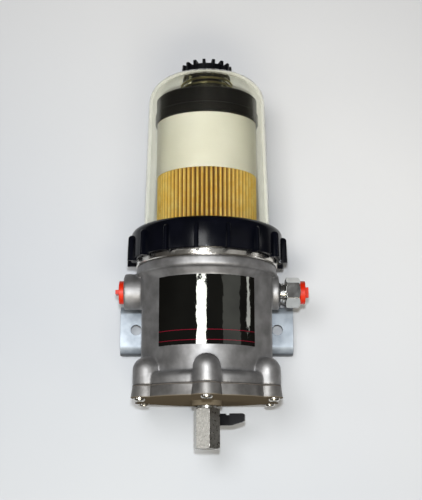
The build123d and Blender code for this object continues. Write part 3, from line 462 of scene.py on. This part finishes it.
dress(polished_steel, "check_ball")
dress(nickel, "check_retainer")
spring_wire = finish(
    "spring_wire", dark=paint(150, 148, 142), light=paint(190, 188, 182), patch=0.002, rough=(0.25, 0.4),
    grain=0.0004, depth=0.00001, metallic=1.0,
)
check_coil = wind("check_spring_coil", "check_spring", wire_r=0.0004, turns=5.0, level=True)
wear(check_coil, spring_wire)
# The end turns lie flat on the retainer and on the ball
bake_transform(check_coil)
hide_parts("check_spring")


# Port plugs: soft orange polythene mouldings with a flange and a pull tab, pushed into the left
# port and the inlet fitting to keep both clean until the pipes are fitted.

orange = finish(
    "orange_polythene", dark=paint(184, 28, 3), light=paint(206, 44, 8), patch=0.006, rough=(0.32, 0.46),
    grain=0.0009, depth=0.00003, specular=0.25,
)
_, shader, _ = insides(orange)
shader.inputs["Subsurface Weight"].default_value = 0.05
shader.inputs["Subsurface Radius"].default_value = (0.002, 0.0008, 0.0004)
for node in ("outlet_plug", "inlet_plug"):
    plug = eased(node, node + "_moulded", width=0.0004, segments=2)
    wear(plug, orange)
    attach(plug, node)
    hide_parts(node)


# Standpipe: a tube moulded in the same black nylon as the lever, pressed into the centre post
# of the casting, where the outlet passage starts.

dress(black_nylon, "standpipe")


# Pleated media: gold filter paper folded into 68 pleats with rounded tips and valleys, bonded
# between the element's two end caps.

paper = finish(
    "pleated_paper", dark=paint(250, 206, 96), light=paint(255, 228, 136), patch=0.008, rough=(0.7, 0.85),
    grain=0.0005, depth=0.00002, stretch=(1.0, 1.0, 0.3),
)
# The casting's upright axis, about which the element, cover, collar and cap are round
axis = Vector((0.0, -0.065, 0.0))
# Painted shade: the paper is painted darker into each fold, from the first radius to the second
fold_lit_r = 0.0481
fold_dark_r = 0.0450
tree, shader, place = insides(paper)
centred = tree.nodes.new("ShaderNodeMapping")
centred.inputs["Location"].default_value = -axis
tree.links.new(place, centred.inputs["Vector"])
flat_place = tree.nodes.new("ShaderNodeVectorMath")
flat_place.operation = "MULTIPLY"
flat_place.inputs[1].default_value = (1.0, 1.0, 0.0)
tree.links.new(centred.outputs["Vector"], flat_place.inputs[0])
from_axis = tree.nodes.new("ShaderNodeVectorMath")
from_axis.operation = "LENGTH"
tree.links.new(flat_place.outputs["Vector"], from_axis.inputs[0])
fold_shade = tree.nodes.new("ShaderNodeMapRange")
fold_shade.inputs["From Min"].default_value = fold_lit_r
fold_shade.inputs["From Max"].default_value = fold_dark_r
tree.links.new(from_axis.outputs["Value"], fold_shade.inputs["Value"])
lay_over(tree, shader, fold_shade.outputs["Result"], paint(134, 82, 18))


def ring_skin(name, radius, low, high, points):
    """An open upright tube about the axis, the start of a round piece."""
    bpy.ops.mesh.primitive_cylinder_add(
        vertices=points, radius=radius, depth=high - low, end_fill_type="NOTHING",
        location=(axis.x, axis.y, (low + high) / 2),
    )
    piece = bpy.context.object
    piece.name = name
    only(piece)
    bpy.ops.object.transform_apply(location=True, rotation=True, scale=True)
    return piece


def pick_points(piece, wanted):
    """Opens a piece in edit mode with only the points selected whose place passes a test."""
    only(piece)
    bpy.context.tool_settings.mesh_select_mode = (True, False, False)
    bpy.ops.object.mode_set(mode="EDIT")
    bpy.ops.mesh.select_all(action="DESELECT")
    bpy.ops.object.mode_set(mode="OBJECT")
    for point in piece.data.vertices:
        point.select = wanted(point.co)
    bpy.ops.object.mode_set(mode="EDIT")


def widen(ratio):
    """Scales what is selected sideways, about the axis."""
    bpy.ops.transform.resize(value=(ratio, ratio, 1.0), center_override=(axis.x, axis.y, 0.0))


media_low, media_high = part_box("filter_media")
tip_r = (media_high.x - media_low.x) / 2
pleat_count = 68
points_per_pleat = 6
pleats = ring_skin("pleated_media", tip_r, media_low.z, media_high.z, pleat_count * points_per_pleat)


def pleat_step(co):
    """Which point of its pleat a point is: 0 at the tip, 3 in the valley."""
    angle = math.atan2(co.y - axis.y, co.x - axis.x)
    return round(angle / (2 * math.pi) * pleat_count * points_per_pleat) % points_per_pleat


# Radius of the points on a pleat's two sides, and last of the one in its valley
pleat_form = (((1, 5), 0.0475), ((2, 4), 0.0455), ((3,), 0.0442))
for steps, radius in pleat_form:
    pick_points(pleats, lambda co: pleat_step(co) in steps)
    widen(radius / tip_r)
    bpy.ops.object.mode_set(mode="OBJECT")
apply_modifier(pleats, "SOLIDIFY", thickness=0.0009, offset=-1.0)
only(pleats)
bpy.ops.object.shade_smooth_by_angle(angle=math.radians(50))
wear(pleats, paper)
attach(pleats, "housing")
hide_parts("filter_media")


# The rest of the element: a plain cream paper band round the pleats, black moulded caps at both
# ends, a punched steel tube in the middle and a rubber grommet that seals on the standpipe.

cream_band = finish(
    "cream_band", dark=paint(246, 244, 236), light=paint(252, 250, 243), patch=0.020, rough=(0.42, 0.55),
    grain=0.0006, depth=0.00001,
)
dress(cream_band, "filter_label")
black_cap = finish(
    "black_cap", dark=paint(8, 7, 7), light=paint(16, 14, 14), patch=0.012, rough=(0.35, 0.5),
    grain=0.0009, depth=0.00003, specular=0.25,
)
dress(black_cap, "filter_top_cap", "filter_bottom_cap")
punched_steel = finish(
    "punched_tube", dark=paint(160, 160, 156), light=paint(196, 196, 192), patch=0.006, rough=(0.3, 0.45),
    grain=0.0007, depth=0.00001, metallic=1.0,
)
dress(punched_steel, "filter_centre_tube")
dress(rubber, "filter_grommet")


# Filter spring: a coil of round bronze-coloured wire with flat ends, which stands on the
# element's top cap and is held down by the dome of the clear cover.

filter_coil = wind("filter_spring_coil", "filter_spring", wire_r=0.0013, turns=4.5, level=False)
bronze_wire = finish(
    "bronze_wire", dark=paint(132, 124, 88), light=paint(168, 160, 118), patch=0.003, rough=(0.25, 0.4),
    grain=0.0004, depth=0.000004, metallic=0.9,
)
wear(filter_coil, bronze_wire)
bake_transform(filter_coil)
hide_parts("filter_spring")


# Clear cover and its seal: a thick moulding in clear plastic that looks pale straw where the
# light passes through a lot of it, on a rubber ring in the rim of the neck.

clear_straw = finish(
    "clear_straw", dark=paint(254, 254, 250), light=paint(255, 255, 253), patch=0.050, rough=(0.015, 0.03),
    grain=0.014, depth=0.00001,
)
tree, shader, _ = insides(clear_straw)
shader.inputs["Transmission Weight"].default_value = 1.0
shader.inputs["IOR"].default_value = 1.45
straw = tree.nodes.new("ShaderNodeVolumeAbsorption")
straw.inputs["Color"].default_value = (0.985, 0.968, 0.60, 1.0)
straw.inputs["Density"].default_value = 48.0
tree.links.new(straw.outputs["Volume"], tree.nodes["Material Output"].inputs["Volume"])
dress(clear_straw, "clear_cover")
dress(rubber, "cover_seal")


# Collar: a black glass-filled moulding that screws down on the neck and holds the cover's
# flange. Sixteen ribs round it give a grip, and its upper shoulder is well rounded.

collar_black = finish(
    "collar_black", dark=paint(4, 5, 10), light=paint(8, 9, 16), patch=0.014, rough=(0.16, 0.22),
    grain=0.0011, depth=0.000012, specular=0.12,
)
collar_low = 0.0557
collar_high = 0.0857
collar_r = 0.0724
collar_bore = 0.0664
collar_mouth = 0.0617
collar_web = 0.0060
shoulder_round = 0.0068
collar_ease = 0.0008
collar_points = 192
# How near to an edge a point counts as on it
near = 0.0001


def step_on(radius_from, radius_to, rise=0.0):
    """Extrudes the selected ring of edges to another radius and height."""
    bpy.ops.mesh.extrude_edges_move()
    widen(radius_to / radius_from)
    if rise:
        bpy.ops.transform.translate(value=(0.0, 0.0, rise))


def round_off(piece, wanted, width, segments):
    """Bevels the edges whose two ends pass a test."""
    only(piece)
    bpy.context.tool_settings.mesh_select_mode = (False, True, False)
    bpy.ops.object.mode_set(mode="EDIT")
    bpy.ops.mesh.select_all(action="DESELECT")
    bpy.ops.object.mode_set(mode="OBJECT")
    points = piece.data.vertices
    for edge in piece.data.edges:
        a, b = (points[k].co for k in edge.vertices)
        edge.select = wanted(a, b)
    bpy.ops.object.mode_set(mode="EDIT")
    bpy.ops.mesh.bevel(offset=width, segments=segments, affect="EDGES", profile=0.5)
    bpy.ops.object.mode_set(mode="OBJECT")


def on_circle(co, height, radius):
    """Whether a point lies on the level circle of that height and radius about the axis."""
    from_axis = math.hypot(co.x - axis.x, co.y - axis.y)
    return abs(co.z - height) < near and abs(from_axis - radius) < 2 * near


skirt = ring_skin("grip_collar", collar_r, collar_low, collar_high, collar_points)
pick_points(skirt, lambda co: co.z < collar_low + near)
step_on(collar_r, collar_bore)
step_on(collar_bore, collar_bore, rise=collar_high - collar_web - collar_low)
step_on(collar_bore, collar_mouth)
step_on(collar_mouth, collar_mouth, rise=collar_web)
bpy.ops.object.mode_set(mode="OBJECT")
pick_points(skirt, lambda co: co.z > collar_high - near)
bpy.ops.mesh.bridge_edge_loops()
bpy.ops.mesh.select_all(action="SELECT")
bpy.ops.mesh.normals_make_consistent(inside=False)
bpy.ops.object.mode_set(mode="OBJECT")
for height, radius, width, segments in (
    (collar_high, collar_r, shoulder_round, 8),
    (collar_high, collar_mouth, collar_ease, 3),
    (collar_low, collar_r, collar_ease, 3),
):
    round_off(
        skirt, lambda a, b: on_circle(a, height, radius) and on_circle(b, height, radius), width, segments,
    )

rib_count = 16
rib_phase = 7.3
rib_low = 0.0540
rib_high = 0.0780
rib_in = 0.0690
rib_out = 0.0765
rib_w = 0.0036
rib_flare = 0.0007
rib_root = 0.001
rib_brow_round = 0.0030
rib_side_round = 0.0012
rib_middle = (axis.x, axis.y - (rib_in + rib_out) / 2, (rib_low + rib_high) / 2)


def on_brow(a, b):
    """Whether an edge is the upper one of the rib's outer face."""
    across = abs(a.x - b.x) > 10 * near
    high = min(a.z, b.z) > rib_high - near
    return across and high and max(a.y, b.y) < axis.y - rib_out + near


def on_side(a, b):
    """Whether an edge runs down or out along one of the rib's sides, clear of its root."""
    return abs(a.x - b.x) < near and max(a.y, b.y) < axis.y - rib_in - rib_root


bpy.ops.mesh.primitive_cube_add(size=1.0, location=rib_middle)
rib = bpy.context.object
rib.name = "grip_rib"
rib.scale = (rib_w, rib_out - rib_in, rib_high - rib_low)
only(rib)
bpy.ops.object.transform_apply(location=True, rotation=True, scale=True)
pick_points(rib, lambda co: co.z < rib_low + near and co.y < axis.y - rib_out + near)
bpy.ops.transform.translate(value=(0.0, -rib_flare, 0.0))
bpy.ops.object.mode_set(mode="OBJECT")
round_off(rib, on_brow, rib_brow_round, 6)
round_off(rib, on_side, rib_side_round, 4)
ribs = []
for k in range(rib_count):
    one = rib.copy()
    one.data = rib.data.copy()
    bpy.context.scene.collection.objects.link(one)
    turn = Matrix.Rotation(math.radians(k * 360 / rib_count - rib_phase), 4, "Z")
    one.data.transform(Matrix.Translation(axis) @ turn @ Matrix.Translation(-axis))
    ribs.append(one)
bpy.data.objects.remove(rib)
only(skirt)
for one in ribs:
    one.select_set(True)
bpy.ops.object.join()
only(skirt)
bpy.ops.object.shade_smooth_by_angle(angle=math.radians(35))
wear(skirt, collar_black)
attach(skirt, "collar")
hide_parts("collar")


# Vent cap and its seal: a black nylon cap with a crown of fins, screwed into the nose of the
# cover on a rubber ring.

vent_crown = eased("vent_cap", "vent_cap_moulded", width=0.0003, segments=2)
wear(vent_crown, black_nylon)
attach(vent_crown, "vent_cap")
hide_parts("vent_cap")
dress(rubber, "vent_cap_seal")


# Table: a pale board that the object lies on, against the back of the bracket, with painted
# light that makes it a little brighter to the upper right. It adds no light to the object, shows
# only in its reflections, and is clear when it is seen from behind.

table_y = 0.0172
table_z = 0.04
table_size = 0.9
bpy.ops.mesh.primitive_plane_add(
    size=table_size, location=(0.0, table_y, table_z), rotation=(math.radians(90), 0.0, 0.0),
)
table = bpy.context.object
table.name = "table"
only(table)
bpy.ops.object.transform_apply(location=True, rotation=True, scale=True)
pale_board = finish(
    "pale_table", dark=paint(184, 188, 195), light=paint(192, 195, 199), patch=0.5, rough=(0.6, 0.7),
    grain=0.004, depth=0.00002,
)
tree, shader, place = insides(pale_board)
# Painted light: the board's colour is laid brighter towards the upper right corner
to_upper_right = (0.6, 0.0, 0.8)
dim_until = -0.10
lit_from = 0.25
painted_light_corner = grade(tree, place, to_upper_right, dim_until, lit_from)
lay_over(tree, shader, painted_light_corner, paint(212, 212, 213))
front_only = tree.nodes.new("ShaderNodeMixShader")
see_through = tree.nodes.new("ShaderNodeBsdfTransparent")
facing = tree.nodes.new("ShaderNodeNewGeometry")
tree.links.new(facing.outputs["Backfacing"], front_only.inputs["Fac"])
tree.links.new(shader.outputs["BSDF"], front_only.inputs[1])
tree.links.new(see_through.outputs["BSDF"], front_only.inputs[2])
tree.links.new(front_only.outputs["Shader"], tree.nodes["Material Output"].inputs["Surface"])
wear(table, pale_board)
table.visible_diffuse = False
table.visible_shadow = False


# Lamps: a softbox above the camera, a small flash over its lens and a warm card low in front
# give most of the light. Four weak cards at the sides and below draw the edges.

def softbox(name, at, aim, width, height, power, tone=(1.0, 1.0, 1.0)):
    """A rectangular lamp that faces a point."""
    lamp = bpy.data.lights.new(name, "AREA")
    lamp.shape = "RECTANGLE"
    lamp.size = width
    lamp.size_y = height
    lamp.energy = power
    lamp.color = tone
    holder = bpy.data.objects.new(name, lamp)
    bpy.context.scene.collection.objects.link(holder)
    holder.location = at
    holder.rotation_euler = (Vector(aim) - Vector(at)).to_track_quat("-Z", "Y").to_euler()


softbox(
    "key_softbox", at=(-0.20, -1.25, 0.10), aim=(0.0, -0.06, 0.02), width=0.38, height=0.32, power=6.0,
)
softbox(
    "flash", at=(0.0, -1.06, -0.095), aim=(0.0, -0.06, 0.05), width=0.03, height=0.03, power=6.6,
    tone=(0.93, 0.97, 1.0),
)
softbox(
    "fill_card", at=(0.05, -1.15, -0.62), aim=(0.0, -0.06, 0.03), width=0.60, height=0.30, power=6.0,
    tone=(1.0, 0.92, 0.76),
)
softbox(
    "right_card", at=(0.95, -0.95, 0.15), aim=(0.0, -0.06, 0.02), width=0.80, height=0.45, power=0.50,
)
softbox(
    "floor_card", at=(0.0, -0.45, -0.90), aim=(0.0, -0.10, 0.04), width=0.16, height=0.12, power=1.50,
)
softbox(
    "side_softbox", at=(1.0, -0.20, 0.19), aim=(0.0, -0.06, 0.02), width=0.12, height=0.12, power=0.16,
)
softbox(
    "low_card", at=(-0.78, -0.80, -0.05), aim=(0.0, -0.06, -0.10), width=0.50, height=0.13, power=0.60,
)


# Room: dim all round, brighter towards the table and brown below. The camera sees a plain pale
# background in its place.

room_strength = 0.54
floor_fade_start = -0.55
floor_fade_full = -0.85
# Colours from the side behind the camera (0) to the side behind the table (1)
room_tones = ((0.15, (112, 110, 108)), (0.62, (90, 86, 82)), (0.92, (214, 209, 200)))
world = bpy.data.worlds.new("studio")
bpy.context.scene.world = world
world.use_nodes = True
sky = world.node_tree
sky.nodes.clear()
direction = sky.nodes.new("ShaderNodeTexCoord")
parts = sky.nodes.new("ShaderNodeSeparateXYZ")
sky.links.new(direction.outputs["Generated"], parts.inputs["Vector"])
depthwise = sky.nodes.new("ShaderNodeMath")
depthwise.operation = "MULTIPLY_ADD"
depthwise.inputs[1].default_value = 0.5
depthwise.inputs[2].default_value = 0.5
sky.links.new(parts.outputs["Y"], depthwise.inputs[0])
room_ramp = sky.nodes.new("ShaderNodeValToRGB")
room_ramp.color_ramp.elements.new(0.5)
for element, (share, tone) in zip(room_ramp.color_ramp.elements, room_tones):
    element.position = share
    element.color = paint(*tone)
sky.links.new(depthwise.outputs["Value"], room_ramp.inputs["Fac"])
floor_fade = sky.nodes.new("ShaderNodeMapRange")
floor_fade.inputs["From Min"].default_value = floor_fade_start
floor_fade.inputs["From Max"].default_value = floor_fade_full
sky.links.new(parts.outputs["Z"], floor_fade.inputs["Value"])
floor_mix = sky.nodes.new("ShaderNodeMix")
floor_mix.data_type = "RGBA"
sky.links.new(floor_fade.outputs["Result"], floor_mix.inputs["Factor"])
sky.links.new(room_ramp.outputs["Color"], floor_mix.inputs["A"])
floor_mix.inputs["B"].default_value = paint(92, 86, 78)
room = sky.nodes.new("ShaderNodeBackground")
room.inputs["Strength"].default_value = room_strength
sky.links.new(floor_mix.outputs["Result"], room.inputs["Color"])
backdrop = sky.nodes.new("ShaderNodeBackground")
backdrop.inputs["Color"].default_value = paint(228, 231, 235)
backdrop.inputs["Strength"].default_value = 1.0
ray = sky.nodes.new("ShaderNodeLightPath")
chosen = sky.nodes.new("ShaderNodeMixShader")
sky.links.new(ray.outputs["Is Camera Ray"], chosen.inputs["Fac"])
sky.links.new(room.outputs["Background"], chosen.inputs[1])
sky.links.new(backdrop.outputs["Background"], chosen.inputs[2])
world_out = sky.nodes.new("ShaderNodeOutputWorld")
sky.links.new(chosen.outputs["Shader"], world_out.inputs["Surface"])


# Camera: in front of the object and below its middle, tilted up at it as in the photograph.

camera_tilt = 12.567
eye = bpy.data.cameras.new("camera")
eye.lens = 76.71
eye.sensor_width = 36.0
eye.shift_x = 0.00854
eye.clip_start = 0.01
eye.clip_end = 20.0
camera = bpy.data.objects.new("camera", eye)
bpy.context.scene.collection.objects.link(camera)
camera.location = (0.0, -1.065, -0.1544)
camera.rotation_euler = (math.radians(90.0 + camera_tilt), 0.0, 0.0)
bpy.context.scene.camera = camera
bpy.context.scene.view_settings.view_transform = "Standard"
